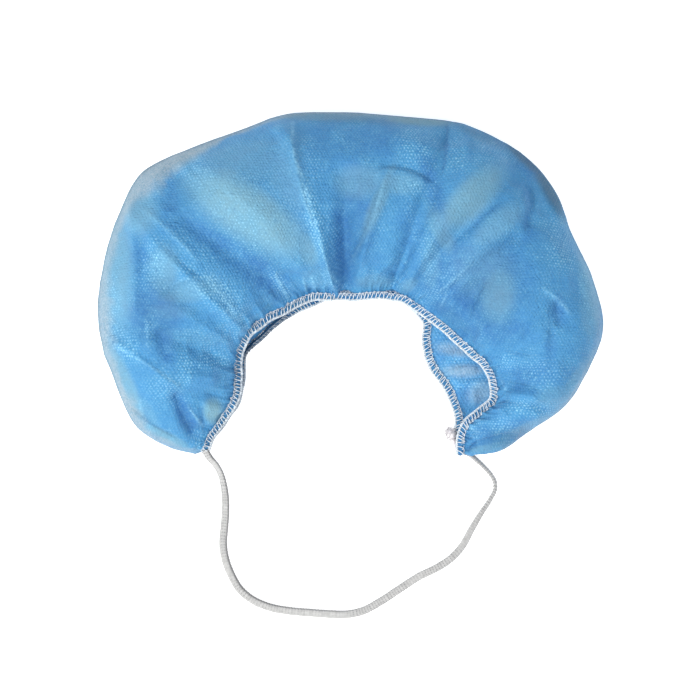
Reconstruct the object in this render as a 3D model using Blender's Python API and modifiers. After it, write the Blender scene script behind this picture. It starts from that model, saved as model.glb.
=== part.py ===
"""A disposable beard cover: a gathered nonwoven pouch with an overlocked elastic mouth and an elastic head loop.

It lies on a surface as it would by itself, puffed up, with its mouth on the inner side of the curve.
Metres, +Z up. The origin is on the surface, under the middle of the pouch's box.
"""

from collections import namedtuple

import bmesh
import bpy
import numpy as np

# Sizes of the pouch
POUCH_WIDTH = 0.2125
POUCH_DEPTH = 0.1445
PUFF_HEIGHT = 0.040
CLOTH_THICKNESS = 0.001

# Sizes of the elastic edge round the mouth
HEM_WIDTH = 0.0032
HEM_THICKNESS = 0.0020
MOUTH_LIFT = 0.012
SEAM_GAP = 0.0003

# Sizes of the small pleats that the elastic draws up along the mouth
GATHER_COUNT = 24
GATHER_DEPTH = 0.0013

# How far the largest fold of the upper layer stands out or sinks in
FOLD_HEIGHT = 0.0050

# Sizes of the elastic. It is flat, and the loop's round tube is as thick as its width and thickness are on average
ELASTIC_DIAMETER = 0.0026
TAIL_LENGTH = 0.0070
TAIL_GAP = 0.0003

# How finely the cloth and the edge are divided
CLOTH_COLUMNS = 88
HEM_TURN_STEPS = 6
HEM_SIDES = 6

# Sections of the pouch, from its left corner to its right one.
# at: share of the way along the closed fold. outer, upper and lower: where the closed fold and the middle of the
# upper and lower edge are, as shares of half of POUCH_WIDTH and POUCH_DEPTH. puff: share of PUFF_HEIGHT.
# lift: how far the upper edge is above the lower one, as a share of MOUTH_LIFT.
Section = namedtuple("Section", "at outer_x outer_y upper_x upper_y lower_x lower_y puff lift")
SECTIONS = (
    Section(0.000, -0.616, -1.000, -0.569, -0.950, -0.569, -0.950, 0.17, 0.29),
    Section(0.025, -0.704, -0.948, -0.561, -0.901, -0.557, -0.901, 0.26, 0.31),
    Section(0.058, -0.830, -0.843, -0.526, -0.831, -0.520, -0.831, 0.45, 0.38),
    Section(0.100, -0.917, -0.593, -0.466, -0.709, -0.458, -0.703, 0.66, 0.50),
    Section(0.153, -0.996, -0.262, -0.443, -0.564, -0.433, -0.564, 0.82, 0.68),
    Section(0.200, -0.972, 0.047, -0.439, -0.424, -0.425, -0.424, 0.90, 0.84),
    Section(0.247, -0.921, 0.343, -0.409, -0.311, -0.372, -0.331, 0.95, 0.97),
    Section(0.298, -0.806, 0.634, -0.340, -0.221, -0.300, -0.238, 0.98, 1.00),
    Section(0.343, -0.625, 0.773, -0.245, -0.142, -0.213, -0.151, 1.00, 1.00),
    Section(0.388, -0.439, 0.890, -0.166, -0.087, -0.150, -0.105, 1.00, 1.00),
    Section(0.431, -0.257, 0.983, -0.087, -0.076, -0.079, -0.087, 0.98, 1.00),
    Section(0.471, -0.079, 0.994, -0.016, -0.078, -0.012, -0.093, 0.97, 1.00),
    Section(0.512, 0.107, 0.983, 0.055, -0.076, 0.055, -0.090, 0.98, 1.00),
    Section(0.550, 0.277, 0.965, 0.126, -0.070, 0.126, -0.081, 1.00, 1.00),
    Section(0.586, 0.435, 0.942, 0.202, -0.087, 0.202, -0.099, 1.00, 1.00),
    Section(0.624, 0.593, 0.837, 0.265, -0.142, 0.261, -0.151, 1.00, 1.00),
    Section(0.661, 0.731, 0.703, 0.332, -0.215, 0.300, -0.233, 0.99, 1.00),
    Section(0.694, 0.822, 0.535, 0.399, -0.294, 0.294, -0.326, 0.97, 1.00),
    Section(0.732, 0.874, 0.297, 0.470, -0.387, 0.308, -0.430, 0.94, 1.00),
    Section(0.774, 0.953, 0.041, 0.534, -0.477, 0.348, -0.529, 0.90, 1.00),
    Section(0.823, 1.000, -0.273, 0.569, -0.587, 0.395, -0.628, 0.84, 0.92),
    Section(0.861, 0.941, -0.506, 0.557, -0.674, 0.419, -0.709, 0.76, 0.78),
    Section(0.899, 0.850, -0.721, 0.502, -0.738, 0.429, -0.773, 0.64, 0.62),
    Section(0.937, 0.704, -0.855, 0.455, -0.802, 0.435, -0.831, 0.47, 0.44),
    Section(0.968, 0.585, -0.950, 0.437, -0.885, 0.435, -0.890, 0.29, 0.33),
    Section(1.000, 0.490, -0.990, 0.439, -0.950, 0.439, -0.950, 0.17, 0.29),
)

# The line that a section follows over the top, from the upper edge to the outermost line of the closed fold.
# at: share of the way. out: share of the way from the edge to the closed fold. rise: share of the section's height.
Profile = namedtuple("Profile", "at out rise")
PROFILE = (
    Profile(0.00, 0.00, 0.00),
    Profile(0.10, 0.06, 0.26),
    Profile(0.24, 0.18, 0.62),
    Profile(0.38, 0.33, 0.88),
    Profile(0.53, 0.50, 1.00),
    Profile(0.68, 0.68, 0.97),
    Profile(0.82, 0.84, 0.81),
    Profile(0.93, 0.95, 0.57),
    Profile(1.00, 1.00, 0.34),
)
CREST_AT = max(PROFILE, key=lambda place: place.rise).at
FOLD_RISE = PROFILE[-1].rise

# Round the closed fold the cloth turns in a quarter circle, at most this share of the section's width
WIDEST_TURN = 0.6

# The rows of the cloth's mesh, as shares of the way: over the top, round the closed fold, and back underneath
TOP_ROWS = (0.0, 0.05, 0.105, 0.165, 0.23, 0.30, 0.38, 0.46, 0.54, 0.62, 0.71, 0.80, 0.88, 0.95)
TURN_ROWS = (0.0, 0.25, 0.5, 0.75)
UNDER_ROWS = (0.0, 0.26, 0.50, 0.72, 0.88, 1.0)

# The main folds of the upper layer. at_mouth and at_fold: where a fold's line is at the mouth and at the closed
# fold, as a share of the way along. near and far: where it begins and ends, as shares of the way out from the
# mouth. half_width: a share of the way along. height: a share of FOLD_HEIGHT, below 0 for a valley.
Fold = namedtuple("Fold", "at_mouth at_fold near far half_width height")
FOLDS = (
    Fold(0.120, 0.060, 0.15, 0.80, 0.016, -0.60),
    Fold(0.150, 0.105, 0.20, 0.90, 0.015, 0.50),
    Fold(0.185, 0.160, 0.15, 0.85, 0.018, -0.80),
    Fold(0.215, 0.215, 0.10, 0.60, 0.014, 0.45),
    Fold(0.250, 0.268, 0.08, 0.92, 0.012, 0.70),
    Fold(0.385, 0.290, 0.04, 0.80, 0.022, -1.00),
    Fold(0.405, 0.335, 0.20, 0.90, 0.024, 0.55),
    Fold(0.455, 0.432, 0.04, 0.95, 0.009, 0.60),
    Fold(0.470, 0.490, 0.04, 0.62, 0.015, -0.85),
    Fold(0.493, 0.545, 0.10, 0.62, 0.012, 0.50),
    Fold(0.568, 0.578, 0.05, 0.95, 0.012, -0.90),
    Fold(0.592, 0.620, 0.10, 0.85, 0.014, 0.50),
    Fold(0.600, 0.660, 0.15, 0.85, 0.012, -0.70),
    Fold(0.680, 0.700, 0.15, 0.90, 0.016, -0.75),
    Fold(0.735, 0.735, 0.10, 0.80, 0.014, 0.45),
    Fold(0.790, 0.775, 0.20, 0.85, 0.016, -0.60),
    Fold(0.860, 0.885, 0.20, 0.85, 0.014, 0.45),
)
FOLD_ROUNDNESS = 1.6
FOLD_FADE = 0.12
CORNER_FADE = 0.12

# The pleats begin at the edge, are deepest a little way in, and are gone further out
GATHER_FULL_AT = 0.10
GATHER_GONE_AT = 0.42

# The head loop's route in millimetres, from the left corner to the right one. The last number is how far it is
# lifted off the surface that it lies on
LOOP_ROUTE_MM = (
    (-61.2, -71.7, 1.3), (-60.7, -74.6, 0.5), (-58.4, -78.2, 0.0), (-55.5, -81.2, 0.0), (-53.2, -84.9, 0.0),
    (-51.9, -90.0, 0.0), (-51.5, -96.5, 0.0), (-52.3, -103.5, 0.0), (-53.2, -110.0, 0.0), (-52.1, -116.8, 0.0),
    (-49.5, -123.4, 0.0), (-45.5, -129.0, 0.0), (-40.2, -133.3, 0.0), (-33.6, -136.3, 0.0), (-25.2, -138.1, 0.0),
    (-16.8, -139.0, 0.0), (-8.4, -139.8, 0.0), (-1.3, -139.8, 0.0), (5.2, -138.2, 0.0), (12.6, -134.2, 0.0),
    (21.0, -128.9, 0.0), (29.4, -124.1, 0.0), (37.0, -120.1, 0.0), (43.0, -116.0, 0.0), (47.3, -110.9, 0.0),
    (50.8, -104.4, 0.0), (54.3, -97.5, 0.0), (58.2, -90.9, 0.0), (60.6, -85.6, 0.0), (60.6, -81.4, 0.0),
    (58.4, -78.0, 0.0), (55.0, -75.3, 0.0), (50.8, -73.6, 0.5), (46.8, -72.97, 1.3),
)
LOOP_POINTS = 58
MM = 0.001

# The cut end of the elastic leaves the lower edge near the right corner. away and onward: where its middle is, as
# shares of TAIL_LENGTH away from the edge and along it. size: a share of its thickness.
TAIL_AT = 0.995
TailPlace = namedtuple("TailPlace", "away onward size")
TAIL_COURSE = (
    TailPlace(0.00, 0.00, 0.75),
    TailPlace(0.12, 0.30, 0.95),
    TailPlace(0.30, 0.62, 1.00),
    TailPlace(0.45, 0.88, 0.95),
    TailPlace(0.52, 1.00, 0.65),
)

BLUE = (0.17, 0.48, 0.78, 1.0)
WHITE = (0.86, 0.86, 0.85, 1.0)


def curve_through(places, values, at, overshoot=True):
    """Values at the places asked for, on a smooth curve through the given ones, with or without overshoot."""
    places, values, at = (np.asarray(x, float) for x in (places, values, at))
    steps = np.diff(places)
    slopes = np.diff(values) / steps
    inner = (slopes[:-1] * steps[1:] + slopes[1:] * steps[:-1]) / (steps[:-1] + steps[1:])
    if not overshoot:
        steepest = 3 * np.minimum(np.abs(slopes[:-1]), np.abs(slopes[1:]))
        inner = np.where(slopes[:-1] * slopes[1:] > 0, np.clip(inner, -steepest, steepest), 0.0)
    tangents = np.concatenate([[slopes[0]], inner, [slopes[-1]]])
    i = np.clip(np.searchsorted(places, at, side="right") - 1, 0, len(steps) - 1)
    t = (at - places[i]) / steps[i]
    return (
        values[i] * (1 + 2 * t) * (1 - t) ** 2
        + tangents[i] * steps[i] * t * (1 - t) ** 2
        + values[i + 1] * t * t * (3 - 2 * t)
        + tangents[i + 1] * steps[i] * t * t * (t - 1)
    )


def smooth_step(x):
    x = np.clip(x, 0.0, 1.0)
    return x * x * (3 - 2 * x)


def column(name, along):
    """A column of SECTIONS at the shares of the way along that are asked for."""
    return curve_through([s.at for s in SECTIONS], [getattr(s, name) for s in SECTIONS], along)


def plan(name, along):
    """The outer, upper or lower line seen from above, in metres, one row for each place along."""
    across = column(name + "_x", along) * POUCH_WIDTH / 2
    back = column(name + "_y", along) * POUCH_DEPTH / 2
    return np.stack([across, back], axis=-1)


def unit(vectors):
    return vectors / np.linalg.norm(vectors, axis=-1, keepdims=True)


def into_cloth(name, along):
    """The level way from the elastic edge into the cloth, square to the edge."""
    ahead = unit(np.gradient(plan(name, along), axis=0))
    return np.stack([-ahead[:, 1], ahead[:, 0]], axis=-1)


def cloth_edge(name, along):
    """The line seen from above where the cloth ends, beside the elastic edge."""
    return plan(name, along) + into_cloth(name, along) * (HEM_WIDTH / 2 + SEAM_GAP)


def edge_height(name, along):
    """How high the middle of the elastic edge is."""
    lifted = column("lift", along) * MOUTH_LIFT if name == "upper" else np.zeros_like(along)
    return HEM_THICKNESS / 2 + lifted


def edge_line(name, along):
    """The middle of the elastic edge, as points in space."""
    return np.concatenate([plan(name, along), edge_height(name, along)[:, None]], axis=1)


def section_lines(along):
    """Each section's line: how far out and how high it is at each row, and whether the row is in the upper layer.

    Out is a share of the way from the edge to the closed fold, and the height is in metres.
    """
    height = (column("puff", along) * PUFF_HEIGHT)[:, None]
    width = np.linalg.norm(plan("outer", along) - cloth_edge("lower", along), axis=-1)[:, None]
    top = np.array(TOP_ROWS)[None]
    turn = np.array(TURN_ROWS)[None] * np.pi / 2
    under = np.array(UNDER_ROWS)[None]
    radius = np.minimum(FOLD_RISE * height, WIDEST_TURN * width)
    at = [p.at for p in PROFILE]
    top_out = curve_through(at, [p.out for p in PROFILE], top, overshoot=False)
    top_rise = curve_through(at, [p.rise for p in PROFILE], top, overshoot=False)
    out = np.concatenate(
        [
            np.broadcast_to(top_out, (len(along), top.size)),
            1 - radius / width * (1 - np.cos(turn)),
            (1 - radius / width) * (1 - under),
        ],
        axis=1,
    )
    lip = (edge_height("upper", along) + CLOTH_THICKNESS / 2)[:, None]
    top_height = height * top_rise + lip * (1 - top_rise) * (top < CREST_AT)
    turn_height = FOLD_RISE * height * (1 - np.sin(turn))
    heights = np.concatenate([top_height, turn_height, np.zeros((len(along), under.size))], axis=1)
    is_top = np.arange(out.shape[1]) < top.size
    return out, heights, is_top


def smooth_cloth(along):
    """The cloth's outer face without folds, as points[column, row], with out and is_top from section_lines."""
    out, heights, is_top = section_lines(along)
    outer = plan("outer", along)[:, None]
    inner = np.where(
        is_top[None, :, None], cloth_edge("upper", along)[:, None], cloth_edge("lower", along)[:, None]
    )
    flat = inner + (outer - inner) * out[..., None]
    return np.concatenate([flat, heights[..., None]], axis=2), out, is_top


def cloth_normals(points):
    return unit(np.cross(np.gradient(points, axis=0), np.gradient(points, axis=1)))


def fold_depth(along, out, is_top):
    """How far the main folds lift the cloth off its smooth shape: depth[column, row]."""
    depth = np.zeros_like(out)
    for fold in FOLDS:
        centre = fold.at_mouth + (fold.at_fold - fold.at_mouth) * out
        across = np.exp(-np.abs((along[:, None] - centre) / fold.half_width) ** FOLD_ROUNDNESS)
        begins = smooth_step((out - fold.near) / FOLD_FADE + 1)
        ends = smooth_step((fold.far - out) / FOLD_FADE + 1)
        depth += fold.height * across * begins * ends
    return FOLD_HEIGHT * depth * is_top * smooth_step((1 - out) / FOLD_FADE)


def gather_depth(along, out):
    """The pleats along both edges, as a triangle wave that fades out away from the edge."""
    wave = 2 * np.abs((along * GATHER_COUNT) % 1 - 0.5)[:, None]
    fade = smooth_step(out / GATHER_FULL_AT) * (1 - smooth_step((out - GATHER_FULL_AT) / GATHER_GONE_AT))
    return -GATHER_DEPTH * wave * fade


def cloth_points():
    """The cloth's outer face with its folds and pleats. What would go under the surface lies on it."""
    along = np.linspace(0, 1, CLOTH_COLUMNS + 1)
    points, out, is_top = smooth_cloth(along)
    corners = smooth_step(along / CORNER_FADE) * smooth_step((1 - along) / CORNER_FADE)
    depth = (fold_depth(along, out, is_top) + gather_depth(along, out)) * corners[:, None]
    points = points + cloth_normals(points) * depth[..., None]
    points[..., 2] = np.maximum(points[..., 2], 0.0)
    return points


def material(name, colour, roughness):
    made = bpy.data.materials.new(name)
    made.use_nodes = True
    shader = made.node_tree.nodes["Principled BSDF"]
    shader.inputs["Base Color"].default_value = colour
    shader.inputs["Roughness"].default_value = roughness
    made.diffuse_color = colour
    return made


def finish(obj, look, collection):
    collection.objects.link(obj)
    obj.data.materials.append(look)
    if obj.type == "MESH":
        obj.data.shade_smooth()
    return obj


def grid_object(name, points):
    """An open sheet through a grid of points."""
    mesh = bmesh.new()
    grid = [[mesh.verts.new(p) for p in line] for line in points]
    for here, beyond in zip(grid, grid[1:]):
        for i in range(len(here) - 1):
            mesh.faces.new((here[i], beyond[i], beyond[i + 1], here[i + 1]))
    data = bpy.data.meshes.new(name)
    mesh.to_mesh(data)
    mesh.free()
    return bpy.data.objects.new(name, data)


def ring_object(name, rings):
    """A closed tube through rings of points, joined end to end."""
    mesh = bmesh.new()
    around = [[mesh.verts.new(p) for p in ring] for ring in rings]
    sides = len(around[0])
    for here, beyond in zip(around, around[1:] + around[:1]):
        for i in range(sides):
            j = (i + 1) % sides
            mesh.faces.new((here[i], here[j], beyond[j], beyond[i]))
    bmesh.ops.recalc_face_normals(mesh, faces=mesh.faces)
    data = bpy.data.meshes.new(name)
    mesh.to_mesh(data)
    mesh.free()
    return bpy.data.objects.new(name, data)


def make_pouch():
    pouch = grid_object("pouch", cloth_points())
    wall = pouch.modifiers.new("cloth", "SOLIDIFY")
    wall.thickness = CLOTH_THICKNESS
    wall.offset = -1.0
    return pouch


def hem_turn(start, ahead, other_height):
    """An upright half circle from the end of one run of the elastic edge to the other run, without its two ends."""
    angles = np.pi * np.arange(1, HEM_TURN_STEPS) / HEM_TURN_STEPS
    radius = (start[2] - other_height) / 2
    points = start + ahead * abs(radius) * np.sin(angles)[:, None]
    points[:, 2] = other_height + radius * (1 + np.cos(angles))
    return points


def hem_path():
    """The elastic edge's middle, once round the mouth, and at each point the way from it into the cloth."""
    along = np.linspace(0, 1, CLOTH_COLUMNS + 1)
    points, inward = [], []
    for name, other, step in (("upper", "lower", 1), ("lower", "upper", -1)):
        line = edge_line(name, along)[::step]
        into = np.zeros_like(line)
        into[:, :2] = into_cloth(name, along)[::step]
        ahead = unit((line[-1] - line[-2]) * (1, 1, 0))
        turn = hem_turn(line[-1], ahead, edge_height(other, along)[::step][-1])
        points += [line, turn]
        inward += [into, np.broadcast_to(into[-1], turn.shape)]
    return np.concatenate(points), np.concatenate(inward)


def make_hem():
    points, inward = hem_path()
    ahead = unit(np.roll(points, -1, axis=0) - np.roll(points, 1, axis=0))
    side = unit(inward - ahead * (inward * ahead).sum(1, keepdims=True))
    up = np.cross(side, ahead)
    angles = 2 * np.pi * np.arange(HEM_SIDES) / HEM_SIDES
    rings = (
        points[:, None]
        + side[:, None] * (np.cos(angles) * HEM_WIDTH / 2)[None, :, None]
        + up[:, None] * (np.sin(angles) * HEM_THICKNESS / 2)[None, :, None]
    )
    return ring_object("opening_hem", rings)


def tube(name, points, diameter, radii=None):
    """A round cord along points, with its ends closed."""
    data = bpy.data.curves.new(name, "CURVE")
    data.dimensions = "3D"
    data.bevel_depth = diameter / 2
    data.bevel_resolution = 2
    data.use_fill_caps = True
    spline = data.splines.new("POLY")
    spline.points.add(len(points) - 1)
    for i, (slot, place) in enumerate(zip(spline.points, points)):
        slot.co = (*place, 1.0)
        slot.radius = 1.0 if radii is None else radii[i]
    return bpy.data.objects.new(name, data)


def make_head_loop():
    route = np.array(LOOP_ROUTE_MM) * MM
    route[:, 2] += ELASTIC_DIAMETER / 2
    reach = np.concatenate([[0], np.cumsum(np.linalg.norm(np.diff(route, axis=0), axis=1))])
    at = np.linspace(0, reach[-1], LOOP_POINTS)
    points = np.stack([curve_through(reach, route[:, k], at, overshoot=k < 2) for k in range(3)], axis=1)
    return tube("head_loop", points, ELASTIC_DIAMETER)


def make_tail():
    """The cut end of the elastic, which lies on the surface beside the lower edge."""
    along = np.array([TAIL_AT - 0.01, TAIL_AT])
    away = -into_cloth("lower", along)[-1]
    onward = unit(plan("lower", along)[0] - plan("lower", along)[1])
    start = plan("lower", along)[-1] + away * ((HEM_WIDTH + ELASTIC_DIAMETER) / 2 + TAIL_GAP)
    points = [
        (*(start + (away * place.away + onward * place.onward) * TAIL_LENGTH), ELASTIC_DIAMETER / 2)
        for place in TAIL_COURSE
    ]
    return tube("elastic_tail", points, ELASTIC_DIAMETER, [place.size for place in TAIL_COURSE])


def main():
    for obj in list(bpy.data.objects):
        bpy.data.objects.remove(obj)
    parts = bpy.data.collections.new("beard_cover")
    bpy.context.scene.collection.children.link(parts)
    cloth = material("nonwoven_blue", BLUE, 0.75)
    finish(make_pouch(), cloth, parts)
    finish(make_hem(), material("overlock_white", WHITE, 0.85), parts)
    finish(make_head_loop(), material("elastic_white", WHITE, 0.8), parts)
    finish(make_tail(), material("elastic_end_white", WHITE, 0.9), parts)


main()
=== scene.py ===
from collections import namedtuple
from functools import partialmethod

import bpy
import numpy as np
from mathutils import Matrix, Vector
from numpy.linalg import norm


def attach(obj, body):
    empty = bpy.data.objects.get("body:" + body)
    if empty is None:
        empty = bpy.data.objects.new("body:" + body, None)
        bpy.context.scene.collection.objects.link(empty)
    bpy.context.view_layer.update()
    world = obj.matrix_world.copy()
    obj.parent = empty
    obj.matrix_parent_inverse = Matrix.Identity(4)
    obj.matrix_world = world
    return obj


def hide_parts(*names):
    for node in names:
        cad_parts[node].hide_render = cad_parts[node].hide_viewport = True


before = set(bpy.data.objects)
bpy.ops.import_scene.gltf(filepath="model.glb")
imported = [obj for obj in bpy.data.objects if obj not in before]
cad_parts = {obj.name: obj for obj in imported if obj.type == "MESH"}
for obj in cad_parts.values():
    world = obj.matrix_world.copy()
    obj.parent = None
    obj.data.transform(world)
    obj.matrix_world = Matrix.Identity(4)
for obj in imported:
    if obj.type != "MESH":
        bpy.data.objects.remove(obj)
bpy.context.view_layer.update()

# The photograph's frame: one of its pixels on the object, and where its middle falls
PIXEL = 0.00042
MIDDLE = 350
MIDDLE_Y = -0.02814
CAMERA_HEIGHT = 1.8
SEEN_HEIGHT = 0.014
SENSOR = 36.0

# Sizes of the pouch and its elastic edge, as in the part. The cloth starts HEM_INSET of the edge's width further in
POUCH_WIDTH = 0.2125
POUCH_DEPTH = 0.1445
PUFF_HEIGHT = 0.04
CLOTH_THICKNESS = 0.001
HEM_WIDTH = 0.0032
HEM_INSET = 0.3
HEM_THICKNESS = 0.002
MOUTH_LIFT = 0.012
FOLD_HEIGHT = 0.005

# How finely the cloth is divided: columns from corner to corner, and rows on top, round the closed fold and below
COLUMNS = 554
TOP_STEPS = 118
TURN_STEPS = 10
UNDER_STEPS = 44

# Each corner's last columns: how wide they still are, and how far ahead they lie, on the part and in the flat cloth
KNOT_SHARES = (0.78, 0.42, 0.08)
KNOT_AHEAD = (0.0008, 0.0015, 0.0018)
KNOT_FLAT_AHEAD = (0.0008, 0.002, 0.0034)

# Folds fade out this near the corners (share of the way along), the closed fold (share of the way out) and the seam;
# creases fade out this near their own ends (share of their length)
CORNER_REACH = 0.1
RIM_REACH = 0.08
SEAM_REACH = 0.004
CREASE_ENDS = 0.22

# The edge: its band's half width and half height as shares of the edge's, the band's sides, how many points its route
# is laid through along each side of the mouth and then has for each stitch, its thread, and its stitches' length
BAND_WIDE = 0.42
BAND_HIGH = 0.4
BAND_SIDES = 14
MOUTH_POINTS = 400
STITCH_POINTS = 4
THREAD_RADIUS = 0.0002
STITCH_PITCH = 0.0016

# The loop's flat knitted elastic, with the length of one knitted row
TAPE_WIDTH = 0.0034
TAPE_THICKNESS = 0.0016
TAPE_SIDES = 28
TAPE_RINGS = 1150
KNIT_PITCH = 0.00125

# The elastic's cut end: where its stub starts, bends and ends, how finely it is divided, and its loose fibres
STUB = ((0.045, -0.0712, 0.0016), (0.0442, -0.066, 0.002), (0.0418, -0.0622, 0.0024))
STUB_RINGS = 34
STUB_SIDES = 14
FIBRES = 420
FIBRE_RADIUS = 0.00007

# The embossed dots: how far apart they are, and their rows as a share of that
DOT_PITCH = 0.0015
DOT_ROWS = 0.866

# How many bumps the noise has before it repeats
LATTICE = 61


def table(fields, *rows):
    """Rows with named fields. The last field is 0 where a row leaves it out."""
    kind = namedtuple("Row", fields, defaults=[0])
    return [kind(*row) for row in rows]


# Cuts across the pouch from the left corner to the right one. at: share of the way along. outer, upper and lower:
# where the closed fold and the mouth's upper and lower edges are, as shares of half the pouch's width and depth.
# puff and lift: shares of PUFF_HEIGHT and MOUTH_LIFT
SECTIONS = table("at outer_x outer_y upper_x upper_y lower_x lower_y puff lift",
    (0.0, -0.616, -1.0, -0.569, -0.95, -0.569, -0.95, 0.17, 0.29),
    (0.025, -0.712, -0.962, -0.561, -0.901, -0.557, -0.901, 0.26, 0.31),
    (0.058, -0.842, -0.85, -0.526, -0.831, -0.52, -0.831, 0.45, 0.38),
    (0.1, -0.926, -0.598, -0.466, -0.709, -0.458, -0.703, 0.66, 0.5),
    (0.153, -0.996, -0.262, -0.443, -0.564, -0.433, -0.564, 0.82, 0.68),
    (0.2, -0.984, 0.05, -0.439, -0.424, -0.425, -0.424, 0.9, 0.84),
    (0.247, -0.928, 0.349, -0.409, -0.311, -0.372, -0.334, 0.95, 0.97),
    (0.298, -0.822, 0.651, -0.34, -0.221, -0.3, -0.24, 0.98, 1.0),
    (0.343, -0.63, 0.784, -0.245, -0.142, -0.215, -0.148, 1.0, 1.0),
    (0.388, -0.438, 0.888, -0.166, -0.087, -0.15, -0.112, 1.0, 1.0),
    (0.431, -0.257, 0.98, -0.087, -0.076, -0.079, -0.066, 0.98, 1.0),
    (0.471, -0.079, 0.994, -0.016, -0.078, -0.012, -0.068, 0.97, 1.0),
    (0.512, 0.107, 0.983, 0.055, -0.076, 0.055, -0.066, 0.98, 1.0),
    (0.55, 0.277, 0.965, 0.126, -0.07, 0.126, -0.061, 1.0, 1.0),
    (0.586, 0.431, 0.932, 0.202, -0.087, 0.202, -0.08, 1.0, 1.0),
    (0.624, 0.593, 0.837, 0.265, -0.142, 0.261, -0.138, 1.0, 1.0),
    (0.661, 0.726, 0.697, 0.332, -0.215, 0.306, -0.233, 0.99, 1.0),
    (0.694, 0.814, 0.53, 0.399, -0.294, 0.301, -0.326, 0.97, 1.0),
    (0.732, 0.874, 0.297, 0.47, -0.387, 0.312, -0.43, 0.94, 1.0),
    (0.774, 0.956, 0.042, 0.534, -0.477, 0.348, -0.529, 0.9, 1.0),
    (0.823, 1.0, -0.273, 0.569, -0.587, 0.395, -0.628, 0.84, 0.92),
    (0.861, 0.944, -0.508, 0.565, -0.685, 0.419, -0.709, 0.76, 0.78),
    (0.899, 0.85, -0.721, 0.512, -0.753, 0.429, -0.773, 0.64, 0.62),
    (0.937, 0.712, -0.868, 0.462, -0.823, 0.435, -0.836, 0.47, 0.44),
    (0.968, 0.6, -0.978, 0.441, -0.904, 0.436, -0.904, 0.29, 0.33),
    (1.0, 0.49, -1.002, 0.44, -0.971, 0.44, -0.971, 0.17, 0.29),
)

# The upper layer from the mouth to the closed fold: how far out and how high it is, as shares of width and height
PROFILE = table("at out rise",
    (0.0, 0.0, 0.0), (0.1, 0.06, 0.26), (0.24, 0.18, 0.62), (0.38, 0.33, 0.88), (0.53, 0.5, 1.0), (0.68, 0.68, 0.97),
    (0.82, 0.84, 0.81), (0.93, 0.95, 0.57), (1.0, 1.0, 0.34),
)
CREST_AT = 0.53
FOLD_RISE = PROFILE[-1].rise
# The widest that the closed fold turns, as a share of the pouch's width there
WIDEST_TURN = 0.6

# The main folds of the upper layer, close to the part's. at_mouth and at_fold: where a fold's line is at the mouth
# and at the closed fold. near and far: where it begins and ends on the way out. height: a share of FOLD_HEIGHT
FOLDS = table("at_mouth at_fold near far half_width height",
    (0.12, 0.06, 0.15, 0.8, 0.016, -0.6), (0.15, 0.105, 0.2, 0.9, 0.015, 0.5), (0.185, 0.16, 0.15, 0.85, 0.018, -0.8),
    (0.215, 0.215, 0.1, 0.6, 0.014, 0.45), (0.25, 0.268, 0.08, 0.92, 0.012, 0.7),
    (0.385, 0.29, 0.04, 0.8, 0.022, -0.25), (0.405, 0.335, 0.2, 0.9, 0.024, 0.55),
    (0.449, 0.424, 0.04, 0.95, 0.009, 0.6), (0.47, 0.49, 0.04, 0.62, 0.015, -0.85),
    (0.493, 0.545, 0.1, 0.62, 0.012, 0.5), (0.568, 0.578, 0.05, 0.95, 0.012, -0.9),
    (0.592, 0.62, 0.1, 0.85, 0.014, 0.5), (0.6, 0.66, 0.15, 0.85, 0.012, -0.7), (0.68, 0.7, 0.15, 0.9, 0.016, -0.75),
    (0.735, 0.735, 0.1, 0.8, 0.014, 0.45), (0.79, 0.775, 0.2, 0.85, 0.016, -0.6),
    (0.86, 0.885, 0.2, 0.85, 0.014, 0.45),
)
FOLD_FADE = 0.12
FOLD_ROUNDNESS = 1.6
FOLD_SHARE = 0.8

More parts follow.
